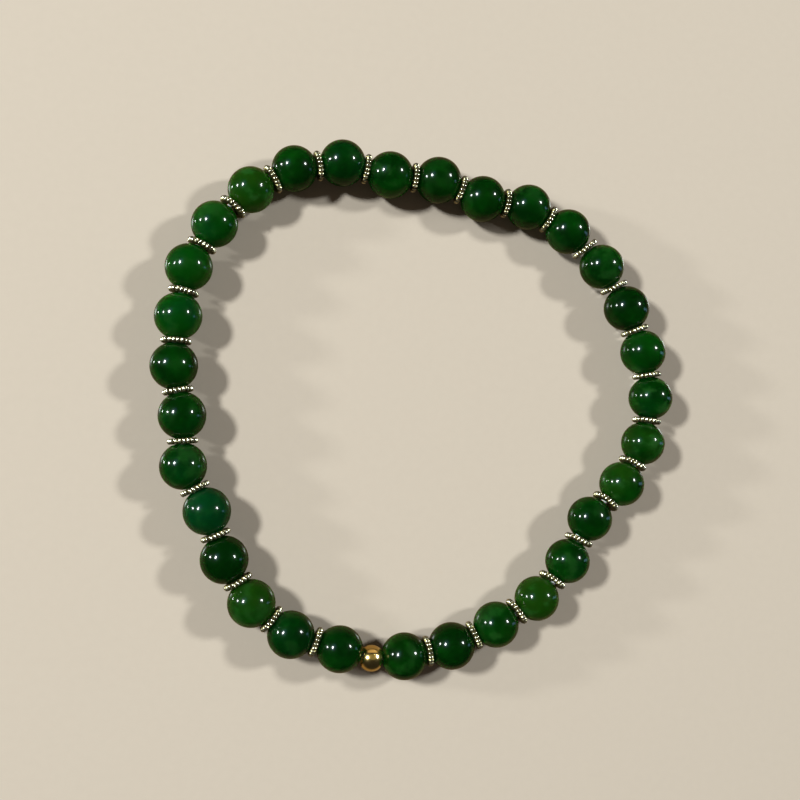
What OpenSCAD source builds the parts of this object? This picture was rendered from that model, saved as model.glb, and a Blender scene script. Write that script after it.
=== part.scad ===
// Bracelet of round green stone beads with ridged gold rings between them, on elastic thread.
// It lies in a loose, slightly wavy loop. +X is right and +Y is away, seen from above,
// +Z is up, and the origin is on the surface it lies on, under the middle of its box.

/* [Stone beads] */
// Usual diameter of the stone beads
bead_d = 6; // [5.6:0.1:7]
// Diameter of the hole drilled through each stone bead
hole_d = 1.1; // [1.0:0.05:1.3]
// How deep the bevel at each mouth of the hole is cut
mouth_depth = 0.2; // [0.1:0.05:0.3]

/* [Spacer rings] */
// Diameter over the ridges of a spacer ring
ring_d = 4.0; // [3.6:0.1:4.4]
// Thickness of a spacer ring along the thread
ring_t = 0.68; // [0.6:0.02:0.9]
// Diameter of a spacer ring's bore, whose edges the stone beads sit on
ring_bore = 2.2; // [2.0:0.05:2.4]
// Number of ridges round a spacer ring
ridge_count = 20; // [16:1:22]
// Width of each ridge, with a narrow groove left between it and the next
ridge_w = 0.48; // [0.36:0.02:0.5]

/* [Gold bead] */
// Diameter of the smooth gold bead
gold_d = 3.35; // [3.2:0.05:3.6]
// Length of the gold bead between its flat ends
gold_len = 2.44; // [2.2:0.02:2.6]
// Diameter of the gold bead's bore
gold_bore = 2.0; // [1.8:0.05:2.0]
// How far the gold bead hangs out from the line of the string
gold_sag = 0.7; // [0:0.05:0.8]

/* [Thread] */
// Diameter of the elastic thread
thread_d = 0.7; // [0.5:0.05:0.8]
// Clearance between a stone bead and the ring or gold bead next to it
seat_gap = 0.03; // [0.02:0.01:0.1]

/* [Hidden] */
$fn = 64;

// One row for each stone bead, clockwise from the top left. The columns are what the bead
// is larger than usual by, the heading of the string from it to the next bead, in degrees
// clockwise from +X, and how far the ring in that gap is turned and leans off square.
SIZE = 0;
HEADING = 1;
TURN = 2;
LEAN = 3;
links = [
    [-0.05, -10,  2,  0],
    [ 0.05,  11,  1,  0],
    [ 0.15,   3, -2,  0],
    [ 0.15,  20,  1,  0],
    [ 0.10,   7, -2,  0],
    [ 0.05,  29, -1,  0],
    [ 0.05,  44, -8,  3],
    [ 0.05,  58, -6,  0],
    [ 0.15,  69,  0,  0],
    [ 0.10,  81, -1,  0],
    [-0.10, 101,  4,  0],
    [-0.15, 120,  3,  0],
    [ 0.00, 135,  6,  4],
    [-0.05, 120,  5,  0],
    [-0.10, 132,  7,  3],
    [-0.15, 150,  7,  0],
    [-0.05, 157,  3, -4],
    [ 0.05, 170,  0,  0],
    [ 0.00, 188,  0,  0],
    [-0.05, 198, -4, -4],
    [ 0.00, 219, -1,  0],
    [ 0.05, 238, -2,  0],
    [ 0.05, 250,  2,  0],
    [ 0.00, 242, -2,  0],
    [-0.10, 268,  2,  0],
    [ 0.00, 260,  0,  0],
    [ 0.00, 274,  0,  0],
    [ 0.00, 281, -2,  0],
    [ 0.00, 299,  4,  0],
    [-0.05, 314,  6, -3],
    [-0.05, 331,  3,  0],
];
count = len(links);
// The gap that holds the gold bead in place of a ring, counted from 0
gold_gap = 18;
// How much further round the thread each ring has turned than the one before it
ring_spin = 37;

function bead_r(i) = (bead_d + links[i % count][SIZE]) / 2;
function heading(i) = -links[i % count][HEADING];
function unit(angle) = [cos(angle), sin(angle)];
// How far a ring stands off square to the string
function tilt(i) = norm([links[i][TURN], links[i][LEAN]]);

// From a bead's centre to the middle of a ring that its sphere sits on, the ring tilted by t
function ring_seat(r, t) =
    let (square = sqrt(r * r - pow(ring_bore / 2, 2)) + ring_t / 2)
    let (room = ring_bore / 2 - square * sin(t))
    (sqrt(r * r - room * room) + ring_t / 2) / cos(t) + seat_gap;
// From a bead's centre to the middle of the gold bead, along the string
function gold_seat(r) =
    sqrt(r * r - pow(gold_bore / 2 - gold_sag, 2)) + gold_len / 2 + seat_gap;
// From a bead's centre to the middle of what fills gap i
function seat(i, r) = i == gold_gap ? gold_seat(r) : ring_seat(r, tilt(i));
function gap(i) = seat(i, bead_r(i)) + seat(i, bead_r(i + 1));

// Bead centres laid one after another, with the small error where the loop closes shared out
laid = [for (i = 0, p = [0, 0]; i <= count; p = p + gap(i % count) * unit(heading(i)), i = i + 1) p];
shared = [for (i = [0 : count - 1]) laid[i] - laid[count] * i / count];
low = [for (k = [0, 1]) min([for (i = [0 : count - 1]) shared[i][k] - bead_r(i)])];
high = [for (k = [0, 1]) max([for (i = [0 : count - 1]) shared[i][k] + bead_r(i)])];
// The thread's height, at which the largest bead just touches the surface
level = max([for (i = [0 : count - 1]) bead_r(i)]);

function spot(i) = let (p = shared[i % count] - (low + high) / 2) [p[0], p[1], level];
// The way the hole of bead i points, halfway between the string's headings on its two sides
function hole_way(i) =
    let (before = heading(i + count - 1), after = heading(i))
    (before + after + (before < -270 && after > -90 ? 360 : 0)) / 2;
function along(i) = let (d = spot(i + 1) - spot(i)) d / norm(d);
function way(i) = atan2(along(i)[1], along(i)[0]);
// The middle of what fills gap i
function gap_spot(i) = spot(i) + along(i) * norm(spot(i + 1) - spot(i)) * seat(i, bead_r(i)) / gap(i);

function bead_name(i) = str("bead_", i < 9 ? "0" : "", i + 1);

// Lays what is drawn upright so that it points along the string
module aim(place, turn, lean) {
    translate(place)
        rotate([0, 0, turn])
            rotate([0, 90 - lean, 0])
                children();
}

module stone_bead(i) {
    r = bead_r(i);
    mouth_r = hole_d / 2 + mouth_depth;
    mouth = sqrt(r * r - mouth_r * mouth_r);
    color("darkgreen")
        aim(spot(i), hole_way(i), 0)
            difference() {
                sphere(r = r);
                cylinder(h = 3 * r, d = hole_d, center = true);
                for (side = [0, 1])
                    mirror([0, 0, side])
                        translate([0, 0, mouth - mouth_depth])
                            cylinder(h = 2 * mouth_depth, r1 = hole_d / 2, r2 = mouth_r + mouth_depth);
            }
}

// A ring's outline across the thread: a disc with round ridges, and its bore
module ridged_outline() {
    middle = ring_d / 2 - ridge_w / 2;
    difference() {
        union() {
            circle(r = middle);
            for (k = [0 : ridge_count - 1])
                rotate(k * 360 / ridge_count)
                    translate([middle, 0])
                        circle(d = ridge_w);
        }
        circle(d = ring_bore);
    }
}

module spacer_ring() {
    linear_extrude(height = ring_t, center = true)
        ridged_outline();
}

module spacer_rings() {
    color("gold")
        for (i = [0 : count - 1])
            if (i != gold_gap)
                aim(gap_spot(i), way(i) + links[i][TURN], links[i][LEAN])
                    rotate([0, 0, ring_spin * i])
                        spacer_ring();
}

module gold_bead() {
    side = way(gold_gap) + 90;
    color("goldenrod")
        aim(gap_spot(gold_gap) + gold_sag * [cos(side), sin(side), 0], way(gold_gap), 0)
            difference() {
                intersection() {
                    sphere(d = gold_d);
                    cube([2 * gold_d, 2 * gold_d, gold_len], center = true);
                }
                cylinder(h = 2 * gold_len, d = gold_bore, center = true);
            }
}

// The thread's route: where it enters and leaves each stone bead, a little inside the mouths
route = [
    for (i = [0 : count - 1])
        for (side = [-1, 1])
            let (w = unit(hole_way(i)) * side * (bead_r(i) - mouth_depth))
            spot(i) + [w[0], w[1], 0]
];

module elastic_thread() {
    sides = 8;
    n = len(route);
    points = [
        for (i = [0 : n - 1])
            let (d = route[(i + 1) % n] - route[(i + n - 1) % n])
            let (across = [-d[1], d[0], 0] / norm(d))
            for (k = [0 : sides - 1])
                let (a = k * 360 / sides)
                route[i] + thread_d / 2 * (across * cos(a) + [0, 0, sin(a)])
    ];
    faces = [
        for (i = [0 : n - 1])
            for (k = [0 : sides - 1])
                let (a = i * sides + k, b = i * sides + (k + 1) % sides)
                let (c = (i + 1) % n * sides + (k + 1) % sides, d = (i + 1) % n * sides + k)
                for (face = [[a, b, c], [a, c, d]]) face
    ];
    color("whitesmoke")
        polyhedron(points = points, faces = faces, convexity = 10);
}

for (i = [0 : count - 1])
    stone_bead(i);
spacer_rings();
gold_bead();
elastic_thread();
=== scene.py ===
"""Bracelet of polished green stone beads, ridged gold rings and one gold bead on elastic thread."""

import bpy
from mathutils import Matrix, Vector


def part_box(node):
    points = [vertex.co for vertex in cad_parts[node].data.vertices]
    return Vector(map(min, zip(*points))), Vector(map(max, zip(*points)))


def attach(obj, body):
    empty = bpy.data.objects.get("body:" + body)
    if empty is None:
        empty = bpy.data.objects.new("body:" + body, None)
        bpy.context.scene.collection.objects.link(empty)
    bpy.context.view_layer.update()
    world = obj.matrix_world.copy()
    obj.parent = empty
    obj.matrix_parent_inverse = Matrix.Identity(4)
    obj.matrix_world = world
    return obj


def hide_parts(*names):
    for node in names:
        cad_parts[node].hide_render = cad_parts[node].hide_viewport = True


bl_info = {
    "name": "Gemstone Bead Bracelet",
    "version": (1, 0, 0),
    "blender": (4, 5, 0),
    "location": "View3D > Sidebar > Bracelet",
    "description": "Strings a bracelet of stone beads and gold rings, and sets it on a studio floor",
    "category": "Object",
}

import math
import random

import bmesh
import bpy
import numpy as np
from mathutils import Matrix, Vector

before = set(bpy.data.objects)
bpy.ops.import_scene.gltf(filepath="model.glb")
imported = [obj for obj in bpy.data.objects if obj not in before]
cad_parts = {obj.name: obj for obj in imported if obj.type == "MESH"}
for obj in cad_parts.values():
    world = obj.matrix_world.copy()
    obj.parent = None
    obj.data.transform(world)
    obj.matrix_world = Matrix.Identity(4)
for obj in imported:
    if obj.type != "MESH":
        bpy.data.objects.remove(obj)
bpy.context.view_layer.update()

MM = 0.001
# How near two points are that count as one, and how near a point is to a circle that it counts as on
SAME = 0.001 * MM
NEAR = 0.012 * MM

# The stone beads in the order they are strung, clockwise from the top left
BEADS = sorted(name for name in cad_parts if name.startswith("bead_"))
# The gap between beads that the gold bead fills in place of a ring, counted from 0
GOLD_GAP = 18
# How much further round the thread each ring has turned than the one before it
RING_SPIN = math.radians(37)
# CAD points this near the middle of a gap, as a share of a ring's diameter, are those of its ring
RING_REACH = 0.7
# How far the ends of a ridge stand askew at most, and how much lower than usual it is at most
ASKEW = 0.05 * MM
UNEVEN = 0.03 * MM
# How far past its height a ridge is drawn out, which the rounding of its crest takes off again
CREST_SPARE = 0.11 * MM
# How wide the rounding is at the mouths of a bead's hole, where the bevel meets the hole, at the
# rims of the gold bead's faces and at the ends of its bore
MOUTH_SOFT = 0.06 * MM
HOLE_SOFT = 0.05 * MM
FACE_SOFT = 0.05 * MM
BORE_SOFT = 0.03 * MM

# What each stone bead is like, chosen bead by bead in trial renders, in the order of the string:
# how pale it is, from 0 to about 1, how much it leans to teal, or below 0 to leaf green, and how
# strong its clouds are
STONES = [
    (0.30, 0.0, 0.4), (0.15, 0.3, 0.3), (0.25, 0.0, 0.5), (0.00, -0.1, 0.2), (0.20, 0.0, 0.3),
    (0.25, 0.1, 0.3), (0.20, 0.1, 0.2), (0.35, 0.0, 0.5), (0.05, 0.0, 0.1), (0.65, 0.0, 0.8),
    (0.50, 0.1, 1.0), (0.50, -0.4, 0.8), (0.55, -0.4, 0.9), (0.35, 0.0, 0.3), (0.35, 0.0, 0.5),
    (0.35, -0.8, 1.0), (0.45, -0.1, 0.6), (0.00, 0.0, 0.0), (0.10, -0.1, 0.4), (0.15, 0.1, 0.1),
    (0.00, 0.3, 0.3), (0.40, -0.6, 0.6), (0.00, 0.1, 0.0), (0.60, 1.0, 0.2), (0.25, 0.2, 0.5),
    (0.40, 0.1, 0.3), (0.20, 0.1, 0.2), (1.10, 0.0, 0.5), (0.90, 0.0, 0.4), (0.85, 0.0, 0.5),
    (1.00, -0.8, 1.0),
]


def length(name, description, default):
    return bpy.props.FloatProperty(
        name=name, description=description, default=default * MM, min=0.0,
        precision=5, unit="LENGTH", subtype="DISTANCE",
    )


def colour(name, description, default):
    return bpy.props.FloatVectorProperty(
        name=name, description=description, default=default, size=3, min=0.0, max=1.0, subtype="COLOR",
    )


class BraceletSizes(bpy.types.PropertyGroup):
    """Sizes of the bracelet's parts."""

    hole: length("Hole", "Diameter of the hole drilled through each stone bead", 1.1)
    mouth: length("Mouth", "How deep the bevel at each mouth of the hole is cut", 0.2)
    ring: length("Ring", "Diameter over the ridges of a spacer ring", 4.0)
    ring_thick: length("Ring thickness", "Thickness of a spacer ring along the thread", 0.68)
    ring_bore: length("Ring bore", "Diameter of a spacer ring's bore", 2.2)
    ridges: bpy.props.IntProperty(
        name="Ridges", description="Number of ridges round a spacer ring", default=20, min=8, max=40
    )
    ridge_high: length("Ridge height", "How far a ridge stands out from the groove beside it", 0.31)
    ridge_round: length("Ridge rounding", "How far down a ridge's sides its rounded crest reaches", 0.30)
    ridge_crown: length("Ridge crown", "Length of a ridge's arch, whose ends the ring cuts off", 0.73)
    gold: length("Gold bead", "Diameter of the smooth gold bead", 3.35)
    gold_long: length("Gold bead length", "Length of the gold bead between its flat ends", 2.44)
    gold_bore: length("Gold bead bore", "Diameter of the gold bead's bore", 2.0)
    thread: length("Thread", "Diameter of the elastic thread", 0.7)


class BraceletColours(bpy.types.PropertyGroup):
    """Colours of the bracelet's finishes and of the floor."""

    deep_green: colour("Deep green", "Darkest stone beads", (0.0002, 0.0081, 0.0004))
    pale_green: colour("Pale green", "Palest stone beads", (0.0007, 0.0243, 0.0010))
    teal: colour("Teal", "Stone beads that lean to blue", (0.0002, 0.0173, 0.0037))
    leaf_green: colour("Leaf green", "Stone beads that lean to yellow", (0.0044, 0.0226, 0.0009))
    cloud: colour("Cloud", "Milky veils inside the stone", (0.0096, 0.0480, 0.0076))
    ring_gold: colour("Ring gold", "Polished ridges of the spacer rings", (0.88, 0.86, 0.64))
    # Base colour at the floor of the rings' grooves, which turns to ring gold towards the ridge tops
    ring_groove_dark: colour("Ring tarnish", "Dark gold left in the rings' grooves", (0.16, 0.135, 0.055))
    bead_gold: colour("Bead gold", "Polish of the smooth gold bead", (1.0, 0.76, 0.30))
    thread_white: colour("Thread white", "Clear elastic thread", (0.78, 0.79, 0.74))
    floor_pale: colour("Floor", "Pale floor under the bracelet", (0.43, 0.36, 0.30))
    floor_mirrored: colour("Mirrored floor", "The floor near by in the polish", (0.18, 0.115, 0.06))
    backdrop: colour("Backdrop", "Pale backdrop behind the floor", (0.60, 0.56, 0.49))


# ---- Shader maths


class Level:
    """A shader socket that Python sums use like a number."""

    def __init__(self, finish, socket):
        self.finish = finish
        self.socket = socket

    def sum(self, operation, *terms):
        node = self.finish.node("ShaderNodeMath", {"operation": operation}, dict(enumerate(terms)))
        return Level(self.finish, node.outputs[0])

    def __add__(self, other):
        return self.sum("ADD", self, other)

    def __sub__(self, other):
        return self.sum("SUBTRACT", self, other)

    def __rsub__(self, other):
        return self.sum("SUBTRACT", other, self)

    def __mul__(self, other):
        return self.sum("MULTIPLY", self, other)

    def between(self, low, high):
        """0 below low, 1 above high, and a smooth rise between them."""
        node = self.finish.node(
            "ShaderNodeMapRange",
            {"interpolation_type": "SMOOTHSTEP"},
            {"Value": self, "From Min": low, "From Max": high},
        )
        return Level(self.finish, node.outputs["Result"])


class Finish:
    """A material whose nodes are made and joined by name."""

    def __init__(self, name, **steady):
        self.material = bpy.data.materials.new(name)
        self.material.use_nodes = True
        self.tree = self.material.node_tree
        self.surface = self.tree.nodes["Principled BSDF"]
        for socket, value in steady.items():
            self.surface.inputs[socket.replace("_", " ")].default_value = value

    def node(self, kind, settings=None, sockets=None):
        """A new node with its settings, and then the values or links of its sockets."""
        node = self.tree.nodes.new(kind)
        for setting, value in (settings or {}).items():
            setattr(node, setting, value)
        for socket, value in (sockets or {}).items():
            self.join(value, node.inputs[socket])
        return node

    def join(self, value, socket):
        """Links a socket to another, or sets it to a number or colour."""
        if isinstance(value, Level):
            value = value.socket
        if isinstance(value, bpy.types.NodeSocket):
            self.tree.links.new(value, socket)
        elif socket.type == "RGBA":
            socket.default_value = (*value[:3], 1.0)
        else:
            socket.default_value = value

    def spot(self):
        """Where on the object a point is."""
        return self.node("ShaderNodeTexCoord").outputs["Object"]

    def noise(self, spot, scale, detail=2.0, rough=0.5, stir=0.0):
        node = self.node(
            "ShaderNodeTexNoise",
            {"noise_dimensions": "3D"},
            {"Vector": spot, "Scale": scale, "Detail": detail, "Roughness": rough, "Distortion": stir},
        )
        return Level(self, node.outputs["Fac"])

    def chart(self, name):
        """A number charted on the piece's own points."""
        node = self.node("ShaderNodeAttribute", {"attribute_name": name})
        return Level(self, node.outputs["Fac"])

    def blend(self, share, first, second):
        """The first colour where the share is 0, and the second where it is 1."""
        # The node has several sockets of one name, so those for colours are taken by their places
        node = self.node("ShaderNodeMix", {"data_type": "RGBA"}, {"Factor": share})
        self.join(first, node.inputs[6])
        self.join(second, node.inputs[7])
        return node.outputs[2]

    def bump(self, height, strength, distance):
        node = self.node(
            "ShaderNodeBump", None, {"Height": height, "Strength": strength, "Distance": distance}
        )
        return node.outputs["Normal"]

    def wear(self, **varying):
        """Joins what changes over the surface to the shader."""
        for socket, value in varying.items():
            self.join(value, self.surface.inputs[socket.replace("_", " ")])
        return self.material


def green_stone(colours):
    """Deep green stone with faint milky clouds under a high polish.

    A faint glow in the stone's own colour stands for the light that scatters about inside it.
    """
    finish = Finish(
        "green_stone", IOR=1.3, Subsurface_Weight=0.8, Subsurface_Radius=(0.25, 1.0, 0.3),
        Subsurface_Scale=4 * MM, Coat_Weight=0.04, Coat_Roughness=0.33, Emission_Strength=0.5,
    )
    spot = finish.spot()
    pale, blue, cloudy = finish.chart("pale"), finish.chart("blue"), finish.chart("cloudy")
    drift = finish.noise(spot, 300.0, detail=3.0, rough=0.55, stir=0.2)
    tint = finish.noise(spot, 210.0)
    veils = finish.noise(spot, 430.0, detail=5.0, stir=0.1)
    depth = (pale + (drift - 0.5) * 2.2).between(-0.15, 1.15)
    bluer = blue + (tint - 0.5) * (pale * 2.2 + 0.6)
    body = finish.blend(depth, colours.deep_green, colours.pale_green)
    body = finish.blend(bluer.between(0.0, 1.0), body, colours.teal)
    body = finish.blend((0.0 - bluer).between(0.0, 1.0), body, colours.leaf_green)
    body = finish.blend(veils.between(0.50, 0.66) * cloudy * 0.7, body, colours.cloud)
    rubbed = finish.noise(spot, 2400.0, detail=3.0)
    return finish.wear(
        Base_Color=body,
        Emission_Color=body,
        Roughness=rubbed.between(0.3, 0.8) * 0.05 + 0.08,
        Normal=finish.bump(finish.noise(spot, 900.0), strength=0.015, distance=0.02 * MM),
    )


def ring_gold(colours):
    """Pale polished gold on the ridges, darker gold down in the grooves."""
    finish = Finish("ring_gold", Metallic=1.0)
    spot = finish.spot()
    raised = finish.chart("raised").between(0.15, 0.8)
    cast = finish.noise(spot, 3000.0, detail=3.0)
    return finish.wear(
        # Darker gold the deeper a point lies in a groove, pale gold up on the ridges
        Base_Color=finish.blend(raised, colours.ring_groove_dark, colours.ring_gold),
        Roughness=0.42 - raised * 0.22 + cast.between(0.4, 0.8) * 0.08,
        Normal=finish.bump(finish.noise(spot, 5200.0), strength=0.25, distance=0.03 * MM),
    )


def bead_gold(colours):
    """Smooth gold with a soft polish, the faintest hairlines and a slightly uneven colour."""
    finish = Finish("bead_gold", Metallic=1.0)
    spot = finish.spot()
    hairlines = finish.noise(spot, 6000.0, detail=4.0, rough=0.7)
    warm = finish.noise(spot, 500.0)
    deeper = [channel * share for channel, share in zip(colours.bead_gold, (0.92, 0.85, 0.7))]
    return finish.wear(
        Base_Color=finish.blend(warm.between(0.3, 0.7), deeper, colours.bead_gold),
        Roughness=hairlines.between(0.4, 0.9) * 0.06 + 0.18,
        Normal=finish.bump(hairlines, strength=0.04, distance=0.01 * MM),
    )


def thread_white(colours):
    """Milky elastic with stretch marks across it."""
    finish = Finish("thread_white", IOR=1.5, Subsurface_Weight=0.3, Subsurface_Scale=0.3 * MM)
    marks = finish.noise(finish.spot(), 3500.0)
    duller = [channel * 0.8 for channel in colours.thread_white]
    return finish.wear(
        Base_Color=finish.blend(marks.between(0.3, 0.7), duller, colours.thread_white),
        Roughness=marks * 0.2 + 0.3,
    )


def floor_pale(colours):
    """Plain pale floor, dull to the eye, which fades into the backdrop far from the bracelet.

    What the polished parts mirror of it is darker, warmer and has a sheen.
    """
    finish = Finish("floor_pale", Emission_Strength=1.0)
    grain = finish.noise(finish.spot(), 900.0, detail=3.0)
    reach = finish.node("ShaderNodeVectorMath", {"operation": "LENGTH"}, {0: finish.spot()})
    away = Level(finish, reach.outputs["Value"])
    ray = finish.node("ShaderNodeLightPath")
    mirrored = Level(finish, ray.outputs["Is Glossy Ray"])
    direct = Level(finish, ray.outputs["Is Camera Ray"])
    # Distances from the middle of the loop are in metres, and the loop itself reaches to 0.035
    fade = away.between(0.10, 0.75) * direct
    duller = [channel * 0.96 for channel in colours.floor_pale]
    seen = finish.blend(fade, finish.blend(grain, duller, colours.floor_pale), (0.0, 0.0, 0.0))
    dim = [channel * 0.3 for channel in colours.floor_mirrored]
    beneath = finish.blend(away.between(0.04, 0.07), colours.floor_mirrored, dim)
    facing = finish.node("ShaderNodeLayerWeight", None, {"Blend": 0.5}).outputs["Facing"]
    glancing = Level(finish, facing).between(0.40, 0.65)
    return finish.wear(
        Base_Color=finish.blend(mirrored, seen, beneath),
        Emission_Color=finish.blend(fade, (0.0, 0.0, 0.0), colours.backdrop),
        Roughness=(grain * 0.1 + 0.17) * (1.0 - mirrored * glancing * 0.75) + direct * 0.8,
    )


# ---- Where the pieces lie


def middle(node):
    """The middle of a CAD node's box."""
    low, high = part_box(node)
    return (low + high) / 2


def string_of_beads():
    """Each stone bead's centre, its radius and the way its hole points."""
    centres = [middle(name) for name in BEADS]
    rows = []
    for i, here in enumerate(centres):
        before = (here - centres[i - 1]).normalized()
        after = (centres[(i + 1) % len(centres)] - here).normalized()
        low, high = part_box(BEADS[i])
        rows.append((here, (high.z - low.z) / 2, (before + after).normalized()))
    return rows


def seat(points):
    """The centre of a ring or bead with a bore, and the way its bore points, from its CAD points."""
    points = np.unique(np.round(points / SAME), axis=0) * SAME
    centre = points.mean(axis=0)
    across = np.linalg.svd(points - centre, full_matrices=False)[2]
    return Vector(centre), Vector(across[2])


def cad_points(node):
    """The points of a CAD node's mesh, one to a row."""
    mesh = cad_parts[node].data
    points = np.empty(len(mesh.vertices) * 3)
    mesh.vertices.foreach_get("co", points)
    return points.reshape(-1, 3)


def laid(centre, way, spin=0.0, scale=1.0):
    """The move that takes a piece modelled along Z at the origin to its place on the string."""
    turn = way.to_track_quat("Z", "Y").to_matrix().to_4x4()
    return Matrix.Translation(centre) @ turn @ Matrix.Rotation(spin, 4, "Z") @ Matrix.Scale(scale, 4)


# ---- Modelling


def pick(kind, test):
    """Selects the edges or points of the open mesh that pass a test, and nothing else."""
    bpy.ops.mesh.select_mode(type=kind)
    bpy.ops.mesh.select_all(action="DESELECT")
    mesh = bmesh.from_edit_mesh(bpy.context.object.data)
    items = {"EDGE": mesh.edges, "VERT": mesh.verts}[kind]
    found = [item for item in items if test(item)]
    if not found:
        raise RuntimeError(f"nothing was found to select on {bpy.context.object.name}")
    for item in found:
        item.select_set(True)
    mesh.select_flush_mode()
    bmesh.update_edit_mesh(bpy.context.object.data)


def on_circle(radius, height):
    """A test for edges whose two ends lie this far from Z and at this height."""

    def test(edge):
        return all(
            abs(math.hypot(point.co.x, point.co.y) - radius) < NEAR
            and abs(point.co.z - height) < NEAR
            for point in edge.verts
        )

    return test


def level_on_circle(radius, height):
    """The same for edges on either side, at plus or minus the height."""
    top, bottom = on_circle(radius, height), on_circle(radius, -height)
    return lambda edge: top(edge) or bottom(edge)


def trim_ends(height):
    """Cuts the open mesh off flat at plus and minus a height, and leaves both ends open."""
    for side in (1, -1):
        bpy.ops.mesh.select_all(action="SELECT")
        bpy.ops.mesh.bisect(
            plane_co=(0, 0, side * height), plane_no=(0, 0, side), clear_outer=True, threshold=SAME
        )


def draw_in(radius, height, narrow, drop):
    """Draws each open end in from one radius to a narrower one, and down by a drop."""
    for side in (1, -1):
        pick("EDGE", on_circle(radius, side * height))
        bpy.ops.mesh.extrude_region()
        share = narrow / radius
        bpy.ops.transform.resize(value=(share, share, 1), center_override=(0, 0, side * height))
        if drop:
            bpy.ops.transform.translate(value=(0, 0, -side * drop))


def join_bore(radius, height, cuts):
    """Joins the two open ends with the wall of a bore, in one more band than it has cuts."""
    pick("EDGE", level_on_circle(radius, height))
    bpy.ops.mesh.bridge_edge_loops(number_cuts=cuts)


def close_mesh(sharp_from):
    """Merges doubles, points the faces outwards, leaves edit mode and shades the piece smooth.

    Edges that turn by more than the angle, in degrees, stay sharp.
    """
    bpy.ops.mesh.select_all(action="SELECT")
    bpy.ops.mesh.remove_doubles(threshold=SAME)
    bpy.ops.mesh.normals_make_consistent(inside=False)
    bpy.ops.object.mode_set(mode="OBJECT")
    bpy.ops.object.shade_smooth_by_angle(angle=math.radians(sharp_from))
    return bpy.context.object


def open_primitive():
    """Opens the primitive that was just added, with all of it selected, for modelling."""
    bpy.ops.object.mode_set(mode="EDIT")


def alone(piece=None):
    """Leaves only this piece selected, or nothing."""
    bpy.ops.object.select_all(action="DESELECT")
    if piece:
        bpy.context.view_layer.objects.active = piece
        piece.select_set(True)


def copy_laid(model, name, move):
    """A copy of a model with its own mesh, moved to its place, with the place applied."""
    piece = model.copy()
    piece.data = model.data.copy()
    piece.name = piece.data.name = name
    bpy.context.collection.objects.link(piece)
    alone(piece)
    piece.matrix_world = move
    bpy.ops.object.transform_apply(location=True, rotation=True, scale=True)
    return piece


def hand_over(piece, material, node):
    """Gives a piece its finish, hangs it from the root body and hides the CAD node it stands for."""
    piece.data.materials.clear()
    piece.data.materials.append(material)
    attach(piece, "root")
    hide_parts(node)


def chart(mesh, name, levels):
    """Writes a number on each point of a mesh."""
    mesh.attributes.new(name, "FLOAT", "POINT").data.foreach_set("value", levels)


# ---- Operators


class BRACELET_OT_stone_beads(bpy.types.Operator):
    """Turns a stone bead, drills it, bevels the hole's mouths and strings 31 of them"""

    bl_idname = "bracelet.stone_beads"
    bl_label = "Stone Beads"

    def model(self, radius, sizes):
        hole, rim = sizes.hole / 2, sizes.hole / 2 + sizes.mouth
        edge = math.sqrt(radius**2 - rim**2)
        bpy.ops.mesh.primitive_uv_sphere_add(segments=64, ring_count=44, radius=radius)
        open_primitive()
        trim_ends(edge)
        draw_in(rim, edge, narrow=hole, drop=sizes.mouth)
        join_bore(hole, edge - sizes.mouth, cuts=8)
        pick("EDGE", level_on_circle(rim, edge))
        bpy.ops.mesh.bevel(offset=MOUTH_SOFT, segments=3, affect="EDGES")
        pick("EDGE", level_on_circle(hole, edge - sizes.mouth))
        bpy.ops.mesh.bevel(offset=HOLE_SOFT, segments=2, affect="EDGES")
        return close_mesh(sharp_from=50)

    def execute(self, context):
        alone()
        beads = string_of_beads()
        usual = max(radius for _, radius, _ in beads)
        model = self.model(usual, context.scene.bracelet_sizes)
        stone = green_stone(context.scene.bracelet_colours)
        for name, (centre, radius, way), look in zip(BEADS, beads, STONES, strict=True):
            piece = copy_laid(model, f"stone_{name}", laid(centre, way, scale=radius / usual))
            for level, value in zip(("pale", "blue", "cloudy"), look):
                chart(piece.data, level, [value] * len(piece.data.vertices))
            hand_over(piece, stone, name)
            bpy.data.collections["mirrored_in_stone"].objects.link(piece)
        bpy.data.objects.remove(model)
        return {"FINISHED"}


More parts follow.
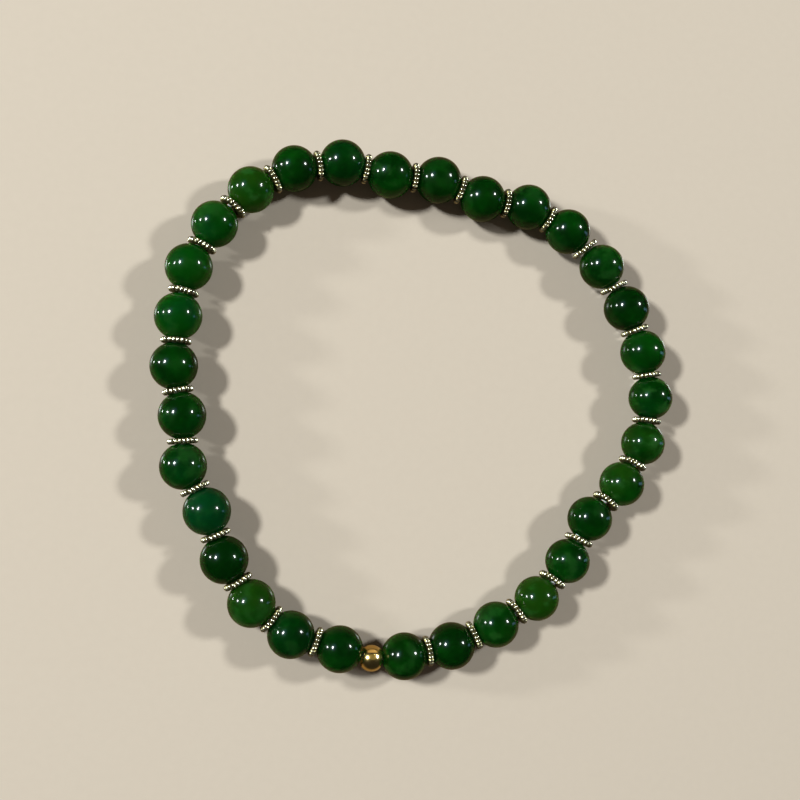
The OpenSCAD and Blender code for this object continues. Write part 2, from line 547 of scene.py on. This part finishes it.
class BRACELET_OT_spacer_rings(bpy.types.Operator):
    """Models a ridged spacer ring and sets one between each two stone beads but the gold bead's pair"""

    bl_idname = "bracelet.spacer_rings"
    bl_label = "Spacer Rings"

    def crests(self, sizes, valley, crest):
        """Draws every other upright edge of the ring out to a crest, each a little askew, as cast."""
        half, turn = sizes.ring_thick / 2, math.pi / sizes.ridges
        chance = random.Random(5)
        for k in range(sizes.ridges):
            angle = 2 * k * turn
            out = Vector((math.cos(angle), math.sin(angle), 0))
            aside = Vector((-out.y, out.x, 0))
            askew, uneven = chance.uniform(-ASKEW, ASKEW), chance.uniform(-UNEVEN, 0.0)
            for side in (1, -1):
                foot = out * valley + Vector((0, 0, side * half))
                pick("VERT", lambda point: (point.co - foot).length < NEAR)
                move = out * (crest - valley + uneven) + aside * (side * askew)
                bpy.ops.transform.translate(value=move)

    def model(self, sizes):
        half, bore = sizes.ring_thick / 2, sizes.ring_bore / 2
        valley = sizes.ring / 2 - sizes.ridge_high
        crest = sizes.ring / 2 + CREST_SPARE
        bpy.ops.mesh.primitive_cylinder_add(
            vertices=2 * sizes.ridges, radius=valley, depth=sizes.ring_thick, end_fill_type="NOTHING"
        )
        open_primitive()
        self.crests(sizes, valley, crest)

        def upright(edge):
            return abs(edge.verts[0].co.z - edge.verts[1].co.z) > half

        pick("EDGE", lambda edge: upright(edge) and edge.verts[0].co.xy.length > (valley + crest) / 2)
        bpy.ops.mesh.bevel(offset=sizes.ridge_round, segments=6, affect="EDGES")
        pick("EDGE", upright)
        bpy.ops.mesh.subdivide(number_cuts=11)
        points = bmesh.from_edit_mesh(bpy.context.object.data).verts
        for height in sorted({round(point.co.z / NEAR) * NEAR for point in points}):
            arch = math.sqrt(1 - (2 * height / sizes.ridge_crown) ** 2)
            share = 1 - (1 - arch) * sizes.ridge_high / (sizes.ring / 2)
            pick("VERT", lambda point: abs(point.co.z - height) < NEAR)
            bpy.ops.transform.resize(value=(share, share, 1), center_override=(0, 0, height))
        for side in (1, -1):
            pick("EDGE", lambda edge: edge.is_boundary and edge.verts[0].co.z * side > 0)
            bpy.ops.mesh.extrude_region()
            bpy.ops.transform.tosphere(value=1)
            points = bmesh.from_edit_mesh(bpy.context.object.data).verts
            loop = [point.co.xy.length for point in points if point.select]
            share = bore / (sum(loop) / len(loop))
            bpy.ops.transform.resize(value=(share, share, 1), center_override=(0, 0, side * half))
        join_bore(bore, half, cuts=0)
        return close_mesh(sharp_from=45)

    def execute(self, context):
        alone()
        sizes = context.scene.bracelet_sizes
        model = self.model(sizes)
        points = np.array([point.co for point in model.data.vertices])
        out = np.hypot(points[:, 0], points[:, 1])
        low = sizes.ring / 2 - sizes.ridge_high
        chart(model.data, "raised", np.clip((out - low) / sizes.ridge_high, 0, 1))
        gold = ring_gold(context.scene.bracelet_colours)
        solids = cad_points("spacer_rings")
        centres = [centre for centre, _, _ in string_of_beads()]
        for gap, centre in enumerate(centres):
            if gap == GOLD_GAP:
                continue
            between = (centre + centres[(gap + 1) % len(centres)]) / 2
            near = np.linalg.norm(solids - np.array(between), axis=1) < RING_REACH * sizes.ring
            place, way = seat(solids[near])
            piece = copy_laid(model, f"spacer_ring_{gap + 1:02d}", laid(place, way, RING_SPIN * gap))
            hand_over(piece, gold, "spacer_rings")
        bpy.data.objects.remove(model)
        return {"FINISHED"}


class BRACELET_OT_gold_bead(bpy.types.Operator):
    """Turns the small gold bead, faces its ends off flat and bores it"""

    bl_idname = "bracelet.gold_bead"
    bl_label = "Gold Bead"

    def execute(self, context):
        alone()
        sizes = context.scene.bracelet_sizes
        radius, half, bore = sizes.gold / 2, sizes.gold_long / 2, sizes.gold_bore / 2
        face = math.sqrt(radius**2 - half**2)
        bpy.ops.mesh.primitive_uv_sphere_add(segments=64, ring_count=48, radius=radius)
        open_primitive()
        trim_ends(half)
        draw_in(face, half, narrow=bore, drop=0)
        join_bore(bore, half, cuts=4)
        for rim, soft in ((face, FACE_SOFT), (bore, BORE_SOFT)):
            pick("EDGE", level_on_circle(rim, half))
            bpy.ops.mesh.bevel(offset=soft, segments=3, affect="EDGES")
        model = close_mesh(sharp_from=50)
        place, way = seat(cad_points("gold_bead"))
        piece = copy_laid(model, "gold_bead_polished", laid(place, way))
        hand_over(piece, bead_gold(context.scene.bracelet_colours), "gold_bead")
        bpy.data.collections["mirrored_in_gold"].objects.link(piece)
        bpy.data.objects.remove(model)
        return {"FINISHED"}


class BRACELET_OT_elastic_thread(bpy.types.Operator):
    """Runs the elastic thread through every bead and closes its loop"""

    bl_idname = "bracelet.elastic_thread"
    bl_label = "Elastic Thread"

    def execute(self, context):
        alone()
        sizes = context.scene.bracelet_sizes
        curve = bpy.data.curves.new("elastic_thread_round", "CURVE")
        curve.dimensions = "3D"
        curve.bevel_depth = sizes.thread / 2
        curve.bevel_resolution = 3
        line = curve.splines.new("POLY")
        route = [
            centre + way * side * (radius - sizes.mouth)
            for centre, radius, way in string_of_beads()
            for side in (-1, 1)
        ]
        line.points.add(len(route) - 1)
        for point, place in zip(line.points, route, strict=True):
            point.co = (*place, 1.0)
        line.use_cyclic_u = True
        thread = bpy.data.objects.new("elastic_thread_round", curve)
        context.collection.objects.link(thread)
        alone(thread)
        bpy.ops.object.convert(target="MESH")
        bpy.ops.object.shade_smooth()
        elastic = thread_white(context.scene.bracelet_colours)
        hand_over(context.object, elastic, "elastic_thread")
        return {"FINISHED"}


class BRACELET_OT_stage(bpy.types.Operator):
    """Lays the pale floor, hangs the lamps and sets up the camera"""

    bl_idname = "bracelet.stage"
    bl_label = "Floor, Lamps and Camera"

    # Each lamp's name, the way to it from the bracelet, which is 1 m off, how wide and how tall it is
    # in metres, its power in watts and its colour
    LAMPS = (
        ("key_lamp", (-0.673, 0.234, 0.700), 0.17, 0.09, 13.0, (0.93, 1.0, 0.98)),
        ("right_lamp", (0.724, 0.266, 0.638), 0.15, 0.09, 8.0, (0.93, 1.0, 0.98)),
        ("low_lamp", (-0.940, 0.200, 0.290), 0.10, 0.07, 5.0, (0.93, 1.0, 0.98)),
        ("cool_panel", (0.990, 0.000, 0.140), 0.14, 0.28, 0.30, (0.35, 0.62, 1.0)),
    )
    # The same for the cards, which light only the gold bead or only the stone beads, as their names
    # say
    CARDS = (
        ("gold_card_far", (0.100, 0.960, 0.260), 1.60, 0.64, 1.35, (1.0, 0.74, 0.46)),
        ("gold_card_high", (0.060, 0.330, 0.940), 1.30, 0.90, 0.52, (1.0, 0.88, 0.44)),
        ("stone_card", (-0.620, 0.280, 0.730), 0.60, 0.46, 0.80, (0.12, 0.45, 1.0)),
    )

    # The colour and strength of the room that the polish mirrors, and of the fill in the shadows
    ROOM = ((1.0, 0.92, 0.82), 0.02)
    FILL = ((1.0, 0.80, 0.62), 0.10)
    # The camera stands a little left of and in front of the loop's middle, and looks down at it
    EYE = (-28.335 * MM, -7.945 * MM, 131.041 * MM)
    EYE_TURN = (0.06804, -0.19493, 0.0)

    def execute(self, context):
        alone()
        self.floor(context)
        self.lamps(context)
        self.backdrop(context.scene)
        self.camera(context)
        context.scene.view_settings.view_transform = "Standard"
        return {"FINISHED"}

    def floor(self, context):
        bpy.ops.mesh.primitive_circle_add(vertices=96, radius=2.5, fill_type="NGON")
        floor = context.object
        floor.name = "floor"
        floor.data.materials.append(floor_pale(context.scene.bracelet_colours))

    def lamps(self, context):
        """Hangs the lamps and the cards, all turned to the bracelet and unseen by the camera."""
        mirrored = {kind: bpy.data.collections.new(f"mirrored_in_{kind}") for kind in ("gold", "stone")}
        for name, way, wide, tall, power, tint in self.LAMPS + self.CARDS:
            lamp = bpy.data.lights.new(name, "AREA")
            lamp.shape = "ELLIPSE"
            lamp.size, lamp.size_y = wide, tall
            lamp.energy = power
            lamp.color = tint
            hung = bpy.data.objects.new(name, lamp)
            hung.location = Vector(way).normalized()
            hung.rotation_euler = Vector(way).to_track_quat("Z", "Y").to_euler()
            hung.visible_camera = False
            if "_card" in name:
                hung.light_linking.receiver_collection = mirrored[name.split("_")[0]]
            context.collection.objects.link(hung)

    def backdrop(self, scene):
        """A dim room for what the polish mirrors, a warm fill for the shadows, and a pale backdrop."""
        world = bpy.data.worlds.new("studio")
        scene.world = world
        world.use_nodes = True
        nodes, links = world.node_tree.nodes, world.node_tree.links

        def glow(background, tint, strength):
            background.inputs["Color"].default_value = (*tint, 1.0)
            background.inputs["Strength"].default_value = strength
            return background.outputs["Background"]

        shader = glow(nodes["Background"], *self.ROOM)
        rays = nodes.new("ShaderNodeLightPath")
        for ray, tint, strength in (
            ("Is Diffuse Ray", *self.FILL),
            ("Is Camera Ray", scene.bracelet_colours.backdrop, 1.0),
        ):
            both = nodes.new("ShaderNodeMixShader")
            links.new(rays.outputs[ray], both.inputs["Fac"])
            links.new(shader, both.inputs[1])
            links.new(glow(nodes.new("ShaderNodeBackground"), tint, strength), both.inputs[2])
            shader = both.outputs["Shader"]
        links.new(shader, nodes["World Output"].inputs["Surface"])

    def camera(self, context):
        camera = bpy.data.cameras.new("camera")
        camera.lens, camera.sensor_width = 45.0, 36.0
        camera.clip_start, camera.clip_end = 0.01, 10.0
        eye = bpy.data.objects.new("camera", camera)
        eye.location = self.EYE
        eye.rotation_euler = self.EYE_TURN
        context.collection.objects.link(eye)
        context.scene.camera = eye


class BRACELET_PT_sidebar(bpy.types.Panel):
    """Lists the bracelet's sizes, colours and steps"""

    bl_idname = "BRACELET_PT_sidebar"
    bl_label = "Gemstone Bead Bracelet"
    bl_space_type = "VIEW_3D"
    bl_region_type = "UI"
    bl_category = "Bracelet"

    def draw(self, context):
        for group in (context.scene.bracelet_sizes, context.scene.bracelet_colours):
            box = self.layout.box()
            for name in group.__annotations__:
                box.prop(group, name)
        for step in STEPS:
            self.layout.operator(step.bl_idname)


STEPS = (
    BRACELET_OT_stage,
    BRACELET_OT_stone_beads,
    BRACELET_OT_spacer_rings,
    BRACELET_OT_gold_bead,
    BRACELET_OT_elastic_thread,
)
CLASSES = (BraceletSizes, BraceletColours, *STEPS, BRACELET_PT_sidebar)


def register():
    for kind in CLASSES:
        bpy.utils.register_class(kind)
    bpy.types.Scene.bracelet_sizes = bpy.props.PointerProperty(type=BraceletSizes)
    bpy.types.Scene.bracelet_colours = bpy.props.PointerProperty(type=BraceletColours)


def unregister():
    del bpy.types.Scene.bracelet_sizes
    del bpy.types.Scene.bracelet_colours
    for kind in reversed(CLASSES):
        bpy.utils.unregister_class(kind)


def main():
    register()
    bpy.ops.bracelet.stage()
    bpy.ops.bracelet.stone_beads()
    bpy.ops.bracelet.spacer_rings()
    bpy.ops.bracelet.gold_bead()
    bpy.ops.bracelet.elastic_thread()


if __name__ == "__main__":
    main()
